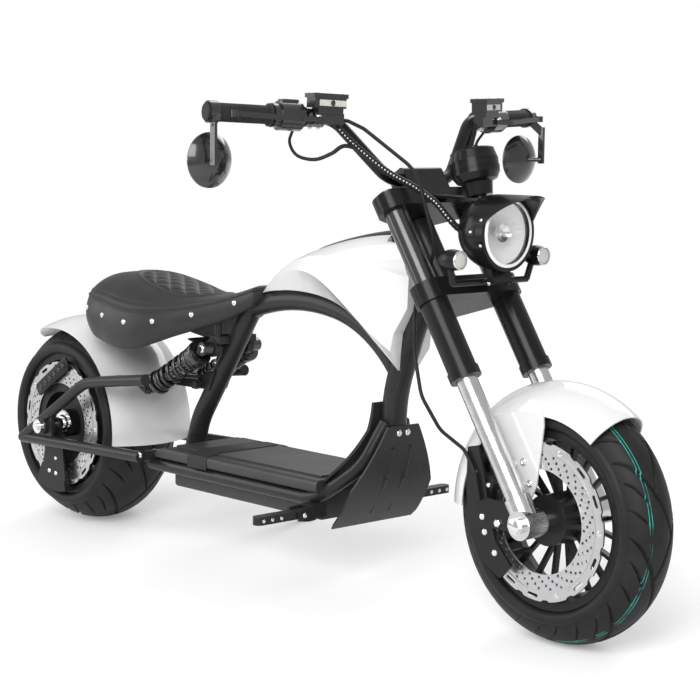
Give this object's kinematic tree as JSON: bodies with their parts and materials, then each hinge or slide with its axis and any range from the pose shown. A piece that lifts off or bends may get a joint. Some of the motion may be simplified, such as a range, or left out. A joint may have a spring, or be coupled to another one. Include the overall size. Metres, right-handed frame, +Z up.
{
  "type": "electric chopper scooter",
  "caption": "Low electric scooter in chopper style: raked fork, wide bars, white tank and fenders, quilted saddle, step-through deck, cast wheels, hub motor, parked on its side stand.",
  "frame": {"origin": "centre of the bounding box on the ground plane", "axes": "+X forward, +Y to the machine's left, +Z up; the machine leans to its left on its side stand"},
  "size_m": [1.8958, 0.918, 1.0101],
  "materials": {
    "tyre": "rubber",
    "wheel_black": "satin",
    "motor_grey": "satin",
    "disc_steel": "brushed",
    "bare_steel": "polished",
    "fork_silver": "satin",
    "black_satin": "satin",
    "frame_grey": "satin",
    "caliper_black": "satin",
    "grip_rubber": "matt",
    "white_paint": "gloss",
    "lamp_glass": "clear",
    "indicator_black": "gloss",
    "mirror": "polished",
    "seat_cover": "satin",
    "deck_plastic": "matt",
    "spring_black": "satin",
    "hose_rubber": "matt"
  },
  "bodies": {
    "frame": {"rear_caliper": "caliper_black", "rear_fender": "white_paint", "frame": "frame_grey", "arm_left": "frame_grey", "arm_right": "frame_grey", "arm_bridge": "frame_grey", "rear_axle": "bare_steel", "shock_dampers": "spring_black", "shock_springs": "spring_black", "tank": "white_paint", "seat": "seat_cover", "deck_box": "deck_plastic", "deck_cover": "deck_plastic", "foot_board": "deck_plastic", "apron": "frame_grey", "foot_pegs": "frame_grey", "frame_cable": "hose_rubber"},
    "front_wheel": {"front_tyre": "tyre", "front_rim": "wheel_black", "front_disc": "disc_steel"},
    "rear_wheel": {"rear_tyre": "tyre", "rear_rim": "wheel_black", "hub_motor": "motor_grey", "rear_disc": "disc_steel"},
    "steering": {"lower_clamp": "black_satin", "upper_clamp": "black_satin", "fork_tubes": "black_satin", "fork_sleeves": "black_satin", "fork_lowers": "fork_silver", "front_axle": "bare_steel", "handlebar": "black_satin", "grips": "grip_rubber", "switches": "black_satin", "brake_controls": "black_satin", "headlight_housing": "black_satin", "headlight_lens": "lamp_glass", "speedometer": "black_satin", "lamp_bracket": "black_satin", "indicators": "indicator_black", "mirrors": "black_satin", "mirror_glass": "mirror", "front_fender": "white_paint", "front_caliper": "caliper_black", "brake_hose": "hose_rubber"},
    "side_stand": {"side_stand": "frame_grey"}
  },
  "joints": [
    {"name": "steer", "type": "hinge", "parent": "frame", "child": "steering", "pos_m": [0.38076, -0.02553, 0.66412], "axis": [-0.5432, 0.1169, 0.8314], "range_deg": [-38, 38]},
    {"name": "front_spin", "type": "hinge", "parent": "steering", "child": "front_wheel", "pos_m": [0.72, -0.08698, 0.22687], "axis": [0, 0.9903, -0.1392], "continuous": true},
    {"name": "rear_spin", "type": "hinge", "parent": "frame", "child": "rear_wheel", "pos_m": [-0.72, -0.08698, 0.22687], "axis": [0, 0.9903, -0.1392], "continuous": true},
    {"name": "stand_fold", "type": "hinge", "parent": "frame", "child": "side_stand", "pos_m": [-0.272, 0.02641, 0.114], "axis": [0, 0.9903, -0.1392], "range_deg": [0, 75]}
  ]
}
